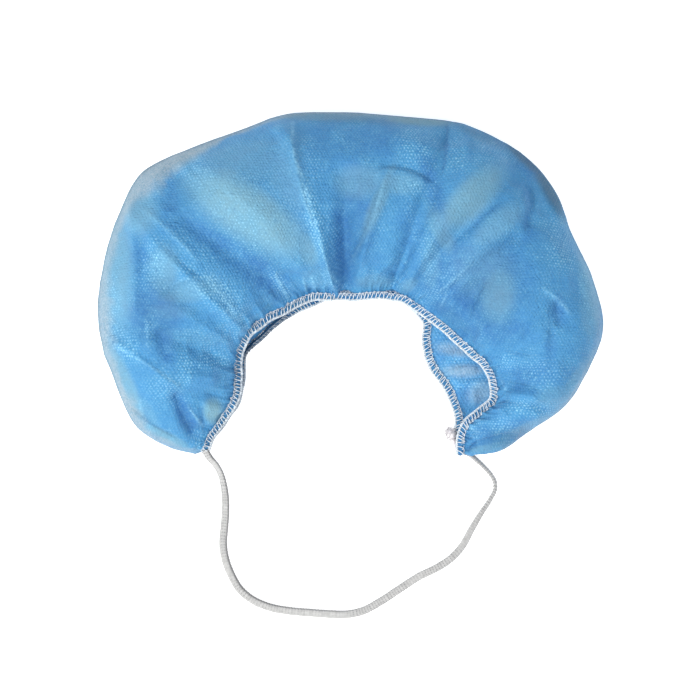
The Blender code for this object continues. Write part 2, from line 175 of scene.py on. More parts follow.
# Creases of the upper layer by their place in the photograph, in its pixels: a line from x0 y0 to x1 y1 that bows
# sideways by bow. width: half of how wide it is. height: in millimetres, below 0 for a valley.
# sharp: 1 for a sharp crest, 2 for a round one. step: how much higher its left side is, in millimetres
CREASE = "x0 y0 x1 y1 bow width height sharp step"
CREASES = table(CREASE,
    (292, 120, 318, 236, -6, 3.0, 1.3, 1.0, -0.6), (318, 232, 339, 291, -2, 3.0, 1.2, 1.0, -0.4),
    (343, 203, 350, 294, 0, 11.0, -3.2, 2.0), (385, 172, 346, 274, 4, 3.5, 0.5, 1.0, 1.8),
    (181, 166, 169, 214, -3, 9.0, -1.3, 2.0), (167, 206, 298, 302, 0, 11.0, -3.0, 2.0),
    (141, 206, 206, 268, 2, 4.5, 1.2, 1.5), (204, 273, 242, 328, 4, 4.5, 0.5, 1.4),
    (147, 227, 206, 281, -2, 4.0, -0.8, 1.5), (159, 296, 203, 279, 3, 2.5, -0.8, 1.2, 0.5),
    (446, 116, 440, 178, 3, 2.6, -0.6, 1.3, 0.5), (441, 170, 413, 244, 4, 4.0, -1.0, 1.4, 0.4),
    (414, 240, 396, 286, 2, 3.5, -1.1, 1.4, 0.5), (374, 171, 437, 187, 7, 3.0, -0.6, 1.4, -0.8),
    (506, 196, 440, 252, 2, 4.0, -1.5, 1.3), (529, 178, 526, 237, 4, 5.0, -1.5, 1.7),
    (528, 233, 466, 282, -5, 6.0, -1.8, 1.7), (500, 149, 529, 184, 3, 8.0, -1.6, 2.0),
    (538, 172, 558, 206, 3, 4.0, -1.2, 1.5), (481, 278, 468, 315, 1, 4.0, -1.3, 1.4, 0.8),
    (470, 313, 524, 315, 0, 6.0, -0.8, 1.8), (535, 288, 570, 320, 5, 2.8, 0.7, 1.2, 0.3),
    (556, 298, 557, 329, 0, 6.0, -1.0, 1.8), (549, 324, 546, 363, 1, 5.0, -0.8, 1.8),
    (499, 378, 543, 391, 2, 4.0, -0.7, 1.5), (497, 401, 549, 411, 3, 4.0, -0.8, 1.6),
    (501, 392, 546, 400, 2, 4.0, 0.8, 1.6), (464, 454, 480, 440, 1, 2.5, -1.2, 1.2, 0.5),
    (477, 441, 520, 434, 1, 2.5, -1.4, 1.2, 0.8), (103, 333, 188, 392, 2, 2.5, 1.2, 1.1, -0.5),
    (173, 390, 199, 443, -2, 6.0, -2.6, 1.6), (186, 403, 204, 429, 0, 1.8, 0.9, 1.1),
    (202, 401, 204, 433, 0, 3.0, -1.0, 1.6), (160, 326, 171, 363, -2, 7.0, -1.6, 1.8),
    (148, 317, 148, 353, 1, 2.5, 0.5, 1.2), (140, 208, 139, 330, 0, 4.0, 0.8, 1.3, -0.8),
    (150, 238, 152, 342, 0, 8.0, -1.1, 2.0), (126, 404, 183, 443, -2, 1.6, -0.9, 1.2),
    (274, 269, 292, 302, -2, 3.0, 1.0, 1.2), (260, 266, 281, 302, -2, 4.0, -0.6, 1.4),
    (302, 275, 307, 294, 0, 2.2, 0.6, 1.2), (312, 274, 314, 293, 0, 2.0, 0.5, 1.2),
    (322, 272, 327, 292, 0, 2.2, -0.6, 1.2), (358, 277, 386, 271, 2, 3.0, 0.6, 1.4),
    (388, 268, 397, 285, 0, 3.0, -0.8, 1.3), (472, 260, 431, 297, 2, 3.0, 0.7, 1.2),
    (464, 277, 438, 302, -1, 2.5, -0.7, 1.3), (450, 257, 424, 292, 2, 3.0, -0.6, 1.3),
    (484, 261, 453, 292, 2, 3.0, 0.5, 1.3), (446, 292, 438, 310, 1, 2.2, 0.6, 1.2),
    (218, 365, 239, 370, 1, 4.0, -1.0, 1.6), (470, 350, 532, 358, -3, 5.0, 0.6, 1.6),
)

# Broad puffs of the upper layer: middle and half sizes in the photograph's pixels, height in millimetres (as the
# patch's strength), and turn in degrees
PATCH = "x y half_long half_wide strength turn"
PUFFS = table(PATCH,
    (262, 222, 60, 26, 2.8, -37), (197, 292, 32, 11, 0.8, 4), (204, 322, 34, 16, 0.9), (388, 238, 40, 15, 1.8, 70),
    (405, 145, 34, 20, 1.2), (470, 195, 44, 20, 2.4, 47), (495, 226, 30, 13, 1.2, 40), (497, 288, 15, 24, 1.3),
    (528, 285, 15, 26, 1.2), (512, 345, 36, 20, 1.0), (158, 392, 20, 16, 1.4), (115, 290, 13, 44, 1.0),
    (575, 275, 15, 36, 1.0, 12), (545, 375, 22, 14, 1.0), (520, 416, 28, 10, 1.2, -6), (213, 411, 8, 12, 1.2),
    (161, 268, 13, 22, 0.7), (219, 290, 58, 20, 2.6, -45), (422, 200, 70, 9, 1.4, 73), (240, 165, 50, 20, 0.8, 15),
)

# Painted light and shade on the cloth: PALE is painted paler where light shines through the raised cloth and sheen
# falls,
# DEEP is painted shade in its valleys and where its layers overlap, and GLINT is painted highlights on its embossed
# dots
PALE = table(PATCH,
    (248, 214, 64, 25, 0.95, -34), (307, 250, 18, 10, 0.6, -65), (190, 160, 14, 8, 0.4, 20),
    (138, 212, 20, 24, 0.55, 15), (588, 318, 9, 22, 0.3, 10), (484, 449, 14, 4, 0.4, 8), (147, 414, 8, 20, 0.3, 30),
    (287, 182, 36, 18, 0.3, -62), (430, 262, 9, 24, 0.3), (572, 385, 30, 7, 0.35, 58), (530, 426, 32, 5, 0.35, 25),
    (554, 396, 18, 10, 0.3), (174, 311, 22, 8, 0.2), (480, 270, 30, 26, 0.25), (226, 184, 20, 15, 0.6),
    (240, 168, 56, 22, 0.3, 15), (114, 268, 20, 66, 0.6, 3), (124, 380, 48, 9, 0.65, -65),
    (165, 436, 26, 5, 0.7, -28), (190, 292, 28, 11, 0.45, 8), (196, 337, 30, 7, 0.15, -8), (166, 270, 15, 22, 0.5),
    (378, 204, 36, 7, 0.55, 67), (400, 186, 20, 10, 0.45), (360, 184, 25, 16, 0.42), (470, 200, 40, 16, 0.75, 47),
    (495, 227, 30, 12, 0.4, 40), (496, 294, 16, 26, 0.5), (588, 290, 9, 42, 0.45, 8), (418, 121, 30, 5, 0.8, -4),
    (330, 116, 60, 5, 0.45), (213, 411, 9, 12, 0.95), (497, 446, 18, 4, 0.3, 8), (318, 277, 14, 10, 0.25),
    (374, 282, 18, 6, 0.25), (408, 286, 10, 6, 0.35, 30), (440, 232, 10, 22, 0.5, 25),
)
DEEP = table(PATCH,
    (171, 202, 8, 32, 0.5, 8), (214, 240, 38, 9, 0.8, -33), (230, 254, 62, 11, 0.6, -36),
    (264, 277, 36, 15, 1.0, -38), (158, 310, 26, 32, 1.0), (144, 262, 9, 30, 0.6), (168, 345, 9, 20, 0.95),
    (185, 413, 27, 8, 1.0, -65), (343, 246, 12, 48, 1.0), (350, 222, 12, 24, 0.6), (414, 238, 12, 26, 0.4, 15),
    (527, 208, 6, 34, 0.5), (500, 249, 34, 8, 0.55, 22), (524, 166, 20, 9, 0.8, -45), (488, 329, 36, 15, 0.75),
    (555, 311, 7, 16, 0.8), (548, 340, 6, 22, 0.5), (524, 388, 24, 4, 0.5, -12), (524, 405, 24, 3, 0.5, -10),
    (228, 374, 8, 8, 0.35), (324, 150, 24, 26, 0.35), (368, 145, 34, 16, 0.55), (360, 208, 17, 48, 0.75, 5),
    (434, 198, 9, 50, 0.9, 15), (470, 285, 52, 42, 0.95), (495, 290, 24, 30, 0.85), (290, 190, 10, 56, 0.35, 22),
    (500, 434, 32, 12, 0.85, 8), (538, 376, 32, 14, 0.7), (252, 308, 12, 7, 0.2, 30), (512, 150, 26, 5, 0.45, -38),
)
GLINT = table(PATCH,
    (200, 171, 19, 17, 0.6), (218, 299, 46, 10, 0.9, -42), (212, 360, 16, 11, 0.9), (232, 332, 9, 24, 0.6, -20),
    (228, 298, 26, 12, 0.8, -48), (184, 168, 26, 9, 0.6, 30), (490, 160, 16, 12, 0.4), (312, 168, 8, 26, 0.4, 5),
    (198, 250, 34, 8, 0.35, -38), (330, 238, 8, 34, 0.35, 8), (172, 399, 16, 9, 0.35), (408, 205, 6, 38, 0.3, 12),
    (157, 266, 13, 27, 0.55, -10), (224, 302, 24, 9, 0.5, -55), (245, 232, 46, 18, 0.5, -37),
    (315, 222, 42, 8, 0.9, -77), (331, 279, 13, 6, 0.8, -50), (281, 285, 20, 6, 0.7, -62), (416, 152, 18, 22, 0.6),
    (412, 190, 10, 8, 0.6), (428, 258, 9, 24, 0.6), (456, 156, 9, 20, 0.6), (490, 148, 10, 7, 0.5),
    (562, 242, 16, 28, 0.7), (586, 285, 10, 30, 0.5), (540, 370, 19, 11, 0.5), (508, 362, 9, 9, 0.8),
    (528, 408, 26, 8, 0.8, -6), (503, 424, 13, 9, 0.5), (474, 428, 13, 12, 0.5), (442, 283, 26, 12, 0.35, 45),
    (165, 388, 14, 13, 0.55), (187, 368, 8, 15, 0.8), (150, 335, 5, 14, 0.4), (203, 338, 24, 10, 0.4, -8),
    (122, 339, 22, 10, 0.8, -45), (112, 306, 10, 26, 0.6), (372, 277, 12, 7, 0.4), (322, 283, 18, 7, 0.35),
    (398, 283, 10, 7, 0.5, 20), (266, 208, 58, 24, 0.35, -38), (198, 440, 8, 10, 0.5),
)

# Thin lines where a crease catches the light or lies in shade, as in CREASES. strength: below 0 for shade
LINES = table("x0 y0 x1 y1 bow width strength",
    (293, 119, 293, 150, 0, 1.4, 0.7), (293, 146, 304, 184, -1, 1.6, 0.8), (303, 180, 319, 238, -1, 3.0, 0.6),
    (317, 232, 338, 288, -2, 2.0, 0.6), (141, 207, 204, 266, 2, 2.2, 0.35), (203, 275, 237, 322, 4, 3.0, 0.5),
    (104, 334, 130, 355, 0, 1.6, 0.6), (126, 352, 188, 391, 2, 1.3, 0.5), (187, 404, 204, 429, 0, 1.2, 0.7),
    (535, 289, 570, 319, 5, 1.8, 0.5), (384, 176, 346, 272, 4, 1.4, 0.4), (148, 317, 148, 352, 1, 1.5, 0.25),
    (160, 294, 201, 278, 3, 1.2, 0.3), (275, 270, 291, 301, -2, 1.5, 0.7), (303, 276, 307, 293, 0, 1.2, 0.6),
    (312, 275, 314, 292, 0, 1.1, 0.5), (471, 262, 432, 296, 2, 1.4, 0.4), (446, 291, 439, 309, 1, 1.3, 0.5),
    (500, 378, 507, 393, 0, 1.2, 0.5), (139, 396, 142, 420, 1, 1.4, 0.5), (466, 425, 480, 436, 1, 1.2, 0.5),
    (446, 113, 440, 181, 3, 1.5, -0.9), (441, 168, 413, 246, 4, 1.6, -0.4), (413, 242, 396, 284, 2, 1.6, -0.5),
    (376, 170, 437, 187, 7, 1.6, -0.2), (504, 198, 441, 251, 2, 1.7, -0.5), (529, 180, 526, 236, 4, 2.2, -0.5),
    (526, 236, 468, 281, -5, 2.2, -0.5), (380, 178, 343, 276, 4, 3.0, -0.6), (159, 297, 202, 280, 3, 1.3, -0.5),
    (150, 229, 205, 281, -2, 1.8, -0.4), (480, 280, 469, 313, 1, 1.6, -0.5), (465, 453, 480, 441, 1, 1.4, -0.8),
    (478, 440, 519, 435, 1, 1.3, -0.7), (126, 403, 182, 441, -3, 1.2, -0.8), (499, 381, 541, 391, 2, 1.6, -0.5),
    (498, 402, 547, 411, 3, 1.4, -0.4), (552, 300, 556, 326, 0, 2.4, -0.5), (176, 392, 197, 438, -2, 2.2, -0.8),
    (202, 404, 203, 430, 0, 1.3, -0.7), (264, 268, 282, 300, -2, 2.0, -0.5), (390, 270, 397, 284, 0, 1.5, -0.5),
    (462, 278, 440, 300, -1, 1.4, -0.4), (450, 258, 427, 290, 2, 1.4, -0.4), (323, 122, 325, 188, 0, 1.6, -0.15),
    (204, 268, 240, 326, 5, 7.0, 0.3), (456, 313, 522, 317, 0, 1.8, -0.5), (546, 294, 546, 356, 1, 2.2, -0.5),
    (520, 318, 522, 345, 0, 1.6, -0.3), (500, 349, 540, 356, -2, 1.6, -0.3), (143, 222, 142, 330, 0, 2.4, -0.3),
)
# Places in shade: the turned edge at the upper right, and faintly the hollows between the puffs
SHADED = table(PATCH,
    (526, 159, 34, 6, 0.9, -42), (549, 189, 32, 8, 0.95, -63), (480, 134, 40, 7, 0.4, -27),
    (360, 116, 110, 9, 0.45, -3), (158, 314, 22, 30, 0.25), (188, 200, 14, 24, 0.2, 8), (256, 250, 38, 9, 0.14, -36),
    (490, 296, 28, 30, 0.21), (452, 318, 24, 8, 0.22, -42), (270, 298, 14, 8, 0.2, 30), (507, 438, 24, 10, 0.4, 8),
    (481, 448, 20, 5, 0.15, 8), (546, 403, 24, 10, 0.12, 20), (170, 382, 18, 12, 0.1), (353, 226, 12, 38, 0.15, 8),
    (431, 232, 8, 40, 0.1, 15), (208, 221, 32, 8, 0.14, -33), (370, 281, 16, 9, 0.17), (177, 341, 28, 10, 0.15),
    (590, 362, 10, 26, 0.14, 25), (450, 160, 12, 16, 0.1), (370, 182, 14, 18, 0.08), (568, 238, 9, 26, 0.12, -15),
    (430, 282, 12, 12, 0.1),
)

# The rim along the closed fold, painted pale grey for sheen at its grazing edge and the backdrop seen through the
# thin
# cloth: at, as a share of the way along; width in the photograph's pixels; strength
RIM = table("at width strength",
    (0.0, 5, 0.4), (0.05, 10, 0.8), (0.08, 12, 0.95), (0.12, 10, 0.8), (0.16, 13, 0.88), (0.22, 9, 0.65),
    (0.27, 10, 0.85), (0.3, 20, 1.0), (0.325, 18, 1.0), (0.35, 9, 0.95), (0.4, 4, 0.7), (0.5, 3, 0.5), (0.56, 3, 0.4),
    (0.6, 2, 0.04), (0.7, 2, 0.04), (0.78, 10, 0.12), (0.88, 5, 0.45), (1.0, 2, 0.2),
)

# The folds inside the lower layer that show through the mouth, as in CREASES, and where light and shade are painted
# on
# it: pale grey light (INNER_PALE), highlights (INNER_BRIGHT) and shade (INNER_DEEP)
INNER_CREASES = table(CREASE,
    (432, 358, 476, 356, 3, 5.0, 1.2, 1.8), (440, 346, 462, 341, 2, 5.0, 1.4, 1.8),
    (446, 370, 482, 369, 0, 5.0, 1.6, 1.8), (450, 382, 490, 381, -2, 4.0, 1.3, 1.8),
    (474, 386, 476, 408, 0, 4.0, 1.2, 1.6), (460, 386, 461, 410, 0, 3.0, 1.0, 1.4),
)
INNER_PALE = table(PATCH,
    (456, 350, 18, 6, 0.55, -10), (464, 371, 19, 6, 0.6), (481, 393, 13, 10, 0.45, 30),
)
INNER_BRIGHT = table(PATCH,
    (464, 384, 24, 6, 0.8), (462, 361, 20, 4, 0.5), (440, 342, 14, 10, 0.25),
)
INNER_DEEP = table(PATCH,
    (436, 358, 10, 22, 0.5, 10), (456, 377, 16, 2, 0.3), (468, 394, 2.5, 13, 0.6), (461, 402, 7, 16, 0.35),
)

# The head loop's route in metres, from the left corner to the right one, and how far it is lifted
LOOP_ROUTE = table("x y lift",
    (-0.0615, -0.0703, 0.0016), (-0.0593, -0.0739, 0.0005), (-0.0565, -0.0772), (-0.0546, -0.0808), (-0.0535, -0.085),
    (-0.0528, -0.09), (-0.0527, -0.0965), (-0.0532, -0.1035), (-0.0537, -0.11), (-0.0527, -0.1168),
    (-0.0502, -0.1234), (-0.0466, -0.1294), (-0.041, -0.134), (-0.0342, -0.1369), (-0.0252, -0.1386),
    (-0.0168, -0.1393), (-0.0084, -0.1399), (-0.0013, -0.14), (0.0052, -0.1386), (0.0126, -0.1347), (0.021, -0.1292),
    (0.0294, -0.1238), (0.037, -0.1201), (0.043, -0.116), (0.0475, -0.1109), (0.0511, -0.1044), (0.0552, -0.0975),
    (0.0594, -0.0911), (0.0613, -0.0872), (0.0613, -0.0842), (0.0598, -0.0812), (0.057, -0.078), (0.0536, -0.0748),
    (0.0506, -0.0724), (0.0482, -0.0712, 0.0004),
)
# How the tape turns about its own length on the way: share of the way, and degrees from lying flat
TWIST = table("at degrees",
    (0.0, 30), (0.05, 48), (0.1, 30), (0.16, 12), (0.3, 8), (0.42, 12), (0.55, 0), (0.66, 12), (0.8, 36), (0.9, 78),
    (1.0, 70),
)


def curve_through(places, values, at, overshoot=True):
    """A smooth curve through the values; without overshoot, it never goes beyond two neighbours."""
    places, values, at = (np.asarray(x, float) for x in (places, values, at))
    steps = np.diff(places)
    slopes = np.diff(values) / steps
    inner = (slopes[:-1] * steps[1:] + slopes[1:] * steps[:-1]) / (steps[:-1] + steps[1:])
    if not overshoot:
        steepest = 3 * np.minimum(np.abs(slopes[:-1]), np.abs(slopes[1:]))
        inner = np.where(slopes[:-1] * slopes[1:] > 0, np.clip(inner, -steepest, steepest), 0.0)
    tangents = np.concatenate([[slopes[0]], inner, [slopes[-1]]])
    i = np.clip(np.searchsorted(places, at, side="right") - 1, 0, len(steps) - 1)
    t = (at - places[i]) / steps[i]
    return (
        values[i] * (1 + 2 * t) * (1 - t) ** 2
        + tangents[i] * steps[i] * t * (1 - t) ** 2
        + values[i + 1] * t * t * (3 - 2 * t)
        + tangents[i + 1] * steps[i] * t * t * (t - 1)
    )


def through(rows, name, at, overshoot=True):
    """The curve through one field of a table's rows, which have their places in `at`."""
    return curve_through([row.at for row in rows], [getattr(row, name) for row in rows], at, overshoot)


def smooth_step(x):
    x = np.clip(x, 0.0, 1.0)
    return x * x * (3 - 2 * x)


def noise(x, y, seed):
    """Smooth noise between -1 and 1, about one bump a unit."""
    lattice = np.random.default_rng(seed).uniform(-1, 1, (LATTICE, LATTICE))
    i, j = np.floor(x).astype(int), np.floor(y).astype(int)
    u, v = (t * t * t * (t * (t * 6 - 15) + 10) for t in (x - i, y - j))
    a, b, c, d = (lattice[(i + right) % LATTICE, (j + up) % LATTICE] for up in (0, 1) for right in (0, 1))
    return (a * (1 - u) + b * u) * (1 - v) + (c * (1 - u) + d * u) * v


def noise_along(x, seed):
    return noise(x, np.zeros_like(x), seed)


def ridges(x, y, seed):
    """Sharp crests with broad hollows between them, from about -1 to 1."""
    warp_x, warp_y = noise(x * 0.6, y * 0.6, seed + 1), noise(x * 0.6, y * 0.6, seed + 2)
    return 1 - 3.2 * np.abs(noise(x + 0.8 * warp_x, y + 0.8 * warp_y, seed))


def fade_ends(share, reach):
    """0 at both ends of the way and 1 between them."""
    return smooth_step(share / reach) * smooth_step((1 - share) / reach)


def circle(count):
    return 2 * np.pi * np.arange(count) / count


def unit(vectors):
    return vectors / np.maximum(norm(vectors, axis=-1, keepdims=True), 1e-12)


def plan(name, along):
    across = through(SECTIONS, name + "_x", along) * POUCH_WIDTH / 2
    back = through(SECTIONS, name + "_y", along) * POUCH_DEPTH / 2
    return np.stack([across, back], axis=-1)


def into_cloth(name, along):
    ahead = unit(np.gradient(plan(name, along), axis=0))
    return np.stack([-ahead[:, 1], ahead[:, 0]], axis=-1)


def cloth_edge(name, along):
    return plan(name, along) + into_cloth(name, along) * HEM_WIDTH * HEM_INSET


def edge_height(name, along):
    lifted = through(SECTIONS, "lift", along) * MOUTH_LIFT if name == "upper" else np.zeros_like(along)
    return HEM_THICKNESS / 2 + lifted


def to_photo(points):
    return (points[..., 0] / PIXEL + MIDDLE, MIDDLE - (points[..., 1] - MIDDLE_Y) / PIXEL)


def smooth_cloth(along):
    """The cloth's outer face without folds: points[column, row], how far out each is, and whether it is on top."""
    top = np.linspace(0, 1, TOP_STEPS, endpoint=False)[None]
    turn = np.linspace(0, 1, TURN_STEPS, endpoint=False)[None] * np.pi / 2
    under = np.linspace(0, 1, UNDER_STEPS)[None]
    height = (through(SECTIONS, "puff", along) * PUFF_HEIGHT)[:, None]
    width = norm(plan("outer", along) - cloth_edge("lower", along), axis=-1)[:, None]
    radius = np.minimum(FOLD_RISE * height, WIDEST_TURN * width)
    top_out = np.broadcast_to(through(PROFILE, "out", top, overshoot=False), (len(along), top.size))
    top_rise = through(PROFILE, "rise", top, overshoot=False)
    turn_out = 1 - radius / width * (1 - np.cos(turn))
    out = np.concatenate([top_out, turn_out, (1 - radius / width) * (1 - under)], axis=1)
    lip = (edge_height("upper", along) + CLOTH_THICKNESS / 2)[:, None]
    top_height = height * top_rise + lip * (1 - top_rise) * (top < CREST_AT)
    turn_height = FOLD_RISE * height * (1 - np.sin(turn))
    low = np.zeros((len(along), under.size)) + 0.0006 * smooth_step((under - 0.8) / 0.2)
    heights = np.concatenate([top_height, turn_height, low], axis=1)
    is_top = np.arange(out.shape[1]) < top.size
    upper, lower = (cloth_edge(name, along)[:, None] for name in ("upper", "lower"))
    inner = np.where(is_top[:, None], upper, lower)
    flat = inner + (plan("outer", along)[:, None] - inner) * out[..., None]
    return np.concatenate([flat, heights[..., None]], axis=2), out, is_top


def normals_of(points):
    return unit(np.cross(np.gradient(points, axis=0), np.gradient(points, axis=1)))


def fold_depth(along, out, is_top):
    depth = np.zeros_like(out)
    for fold in FOLDS:
        centre = fold.at_mouth + (fold.at_fold - fold.at_mouth) * out
        across = np.exp(-np.abs((along[:, None] - centre) / fold.half_width) ** FOLD_ROUNDNESS)
        begins = smooth_step((out - fold.near) / FOLD_FADE + 1)
        ends = smooth_step((fold.far - out) / FOLD_FADE + 1)
        depth += fold.height * across * begins * ends
    return FOLD_HEIGHT * depth * is_top * smooth_step((1 - out) / FOLD_FADE)


def crease_depth(x, y, creases):
    """How far the creases lift the cloth, in metres, at the photograph's pixels x, y."""
    depth = np.zeros_like(x)
    for crease in creases:
        start, end = np.array([crease.x0, crease.y0]), np.array([crease.x1, crease.y1])
        ahead = end - start
        side = np.array([ahead[1], -ahead[0]]) / norm(ahead)
        reach = 4 * crease.width + abs(crease.bow)
        near = True
        for values, one, other in ((x, start[0], end[0]), (y, start[1], end[1])):
            near = near & (values > min(one, other) - reach) & (values < max(one, other) + reach)
        px, py = x[near] - start[0], y[near] - start[1]
        along = np.clip((px * ahead[0] + py * ahead[1]) / (ahead @ ahead), 0, 1)
        px, py = px - along * ahead[0], py - along * ahead[1]
        from_line = px * side[0] + py * side[1] - 4 * crease.bow * along * (1 - along)
        off = np.where((along > 0) & (along < 1), from_line, np.hypot(px, py))
        lift = crease.height * np.exp(-np.abs(off / crease.width) ** crease.sharp)
        lift += crease.step * np.tanh(1.6 * off / crease.width) * np.exp(-((off / (3 * crease.width)) ** 2))
        depth[near] += lift * fade_ends(along, CREASE_ENDS) / 1000
    return depth


def patch_share(x, y, patches, edge=1.9):
    """The strongest of the patches at the photograph's pixels x, y; edge: how sharply they end."""
    share = np.zeros_like(x)
    for patch in patches:
        turn = np.radians(-patch.turn)
        right, down, c, s = x - patch.x, y - patch.y, np.cos(turn), np.sin(turn)
        long, wide = (right * c + down * s) / patch.half_long, (down * c - right * s) / patch.half_wide
        share = np.maximum(share, patch.strength * np.exp(-((long**2 + wide**2) ** edge) * 0.7))
    return share


def puff_depth(x, y):
    depth = np.zeros_like(x)
    for puff in PUFFS:
        depth += patch_share(x, y, [puff._replace(strength=1.0)], edge=1.3) * puff.strength / 1000
    return depth


def pleat_depth(along, away):
    """The pleats that the elastic draws up: fine ones at the edge, which run together further out."""
    depth = np.zeros_like(away)
    for count, reach, height, seed in ((118, 0.004, 0.00036, 1), (61, 0.009, 0.0005, 2), (29, 0.017, 0.0005, 3)):
        place = along[:, None] * count + 0.55 * noise(along[:, None] * count * 0.5, away / 0.012, seed)
        wave = 1 - 2 * np.abs(np.sin(np.pi * place)) ** 0.8
        uneven = np.clip(0.8 + 1.2 * noise(along[:, None] * count * 0.31 + 5.0, away / 0.02, seed + 10), 0.0, 2.0)
        begins = smooth_step(away / 0.0016 + 0.25)
        depth += height * wave * uneven * begins * np.exp(-((away / reach) ** 1.5))
    return depth


def crumple(flat, away):
    """Small uneven creases all over the cloth, closer and sharper towards the elastic edge."""
    x, y = flat[..., 0], flat[..., 1]
    near = np.exp(-away / 0.012)
    depth = 0.0005 * ridges(x / 0.03, y / 0.03, 21)
    depth += 0.0002 * ridges(x / 0.013, y / 0.013, 31) * (1 + 0.7 * near)
    depth += 0.00008 * ridges(x / 0.006, y / 0.006, 41) * (1 + near)
    return depth


def flat_cloth(points, along):
    """Where each point is when the cloth is laid out flat, once for each layer."""
    flats = []
    for name, step in (("upper", 1), ("lower", -1)):
        edge = cloth_edge(name, along)
        outward = unit(plan("outer", along) - edge)
        steps = norm(np.diff(points[:, ::step], axis=1), axis=-1)
        reach = np.pad(np.cumsum(steps, axis=1), ((0, 0), (1, 0)))[:, ::step]
        flats.append(edge[:, None] + outward[:, None] * reach[..., None])
    return flats


def mesh_of(name, verts, faces):
    data = bpy.data.meshes.new(name)
    data.from_pydata(np.asarray(verts).tolist(), [], faces)
    data.shade_smooth()
    return data


def grid_mesh(name, points, flats, first_under):
    """The cloth as one mesh, with where it lies in the flat cloth as its UV map."""
    columns, rows = points.shape[:2]
    index = np.arange(columns * rows).reshape(columns, rows)
    faces = np.stack([index[:-1, :-1], index[1:, :-1], index[1:, 1:], index[:-1, 1:]], axis=-1).reshape(-1, 4)
    data = mesh_of(name, points.reshape(-1, 3), faces.tolist())
    below = np.tile(np.arange(rows - 1) >= first_under, columns - 1)
    uv = np.where(below[:, None, None], flats[1].reshape(-1, 2)[faces], flats[0].reshape(-1, 2)[faces])
    layer = data.uv_layers.new(name="flat")
    layer.data.foreach_set("uv", uv.reshape(-1).astype(np.float32))
    return data


def add_object(name, data):
    made = bpy.data.objects.new(name, data)
    bpy.context.scene.collection.objects.link(made)
    return made


def add_piece(data, values, look, node):
    """A piece named like its mesh, with values at its points for its material."""
    for name, numbers in values.items():
        attribute = data.attributes.new(name, "FLOAT", "POINT")
        attribute.data.foreach_set("value", np.clip(numbers, 0, 1).reshape(-1).astype(np.float32))
    piece = add_object(data.name, data)
    data.materials.append(look)
    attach(piece, "root")
    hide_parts(node)
    return piece


def on_floor(points):
    """Lifts what would be below the surface onto it."""
    points[..., 2] = np.maximum(points[..., 2], 0.0)
    return points


def with_ends(values, shares, ahead_steps):
    """Adds the columns that gather the cloth into a knot at each corner."""
    ends = []
    for first, second in ((values[0], values[4]), (values[-1], values[-5])):
        knot = (first[0] + first[-1]) / 2
        ahead = unit((first - second).mean(axis=0) * (1, 1, 0)[: first.shape[-1]])
        ends.append([knot + (first - knot) * share + ahead * step for share, step in zip(shares, ahead_steps)])
    return np.concatenate([np.array(ends[0])[::-1], values, np.array(ends[1])])


def cloth_depth(along, out, is_top, turned, flats, x, y):
    """How far the folds, creases, puffs and pleats move the cloth outwards."""
    away = [norm(flat - cloth_edge(name, along)[:, None], axis=-1)
            for flat, name in zip(flats, ("upper", "lower"))]
    corners = fade_ends(along, CORNER_REACH)[:, None]
    near_rim = smooth_step((1 - out) / RIM_REACH)
    held = smooth_step(np.minimum(away[0], away[1]) / SEAM_REACH)
    top = fold_depth(along, out, is_top) * FOLD_SHARE * corners
    top += (crease_depth(x, y, CREASES) + puff_depth(x, y)) * near_rim * held
    top += crumple(flats[0], away[0]) * held * (0.35 + 0.65 * near_rim) + pleat_depth(along, away[0])
    under = crease_depth(x, y, INNER_CREASES) + 0.5 * np.abs(crumple(flats[1], away[1])) * held
    under = -(0.6 * np.abs(pleat_depth(along, away[1])) + np.maximum(under, 0))
    depth = np.where(is_top, top, under)
    return np.where(turned, 0.3 * crumple(flats[0], away[0]), depth)


def cloth_values(points, along, is_top, turned):
    """What the cloth's material shows at each point, by name: mostly where light and shade are painted."""
    x, y = to_photo(points)
    rim_width, rim_share = (through(RIM, key, along, overshoot=False)[:, None] for key in ("width", "strength"))
    edge = norm(points[..., :2] - plan("outer", along)[:, None], axis=-1) / PIXEL
    wobble = 1 + 0.35 * noise(along[:, None] * 45, edge / 30, 55) + 0.2 * noise(along[:, None] * 170, edge / 9, 56)
    # The rim painted pale grey for sheen and the backdrop seen through the cloth at its edge
    rim = rim_share * smooth_step(1.5 - edge / (rim_width * wobble))
    # Crease lines painted lighter as highlights (bright) and darker as shade (dark)
    bright, dark = (
        crease_depth(x, y, table(CREASE, *(
            (*line[:6], 1000 * abs(line.strength), 1.6) for line in LINES if line.strength * sign > 0
        ))) * is_top
        for sign in (1, -1)
    )
    past = np.arange(len(is_top)) - TOP_STEPS
    # A painted dark outline as shade where the cloth turns at the closed fold
    outline_shade = np.exp(-((past / 1.8) ** 2)) * np.ones_like(x)
    fading = np.clip(1 - 1.6 * past / TURN_STEPS, 0, 1)
    # Below: the painted grey rim fading down the turned cloth, and painted pale grey light inside the lower layer
    below = np.where(turned, rim_share * fading, patch_share(x, y, INNER_PALE))
    shaded = patch_share(x, y, SHADED) * np.where(is_top, 1, turned * fading)
    # pale, glint and shine: painted light and highlights; deep and line: painted shade; rim: the painted grey edge
    return {
        "pale": patch_share(x, y, PALE, edge=2.4) * is_top,
        "deep": np.where(is_top, np.maximum(patch_share(x, y, DEEP), dark), patch_share(x, y, INNER_DEEP)),
        "rim": np.where(is_top, rim, below),
        "glint": patch_share(x, y, GLINT) * is_top + patch_share(x, y, INNER_BRIGHT) * ~is_top,
        "shine": bright,
        "line": np.maximum(np.maximum(0.6 * outline_shade, 0.35 * dark), shaded),
    }


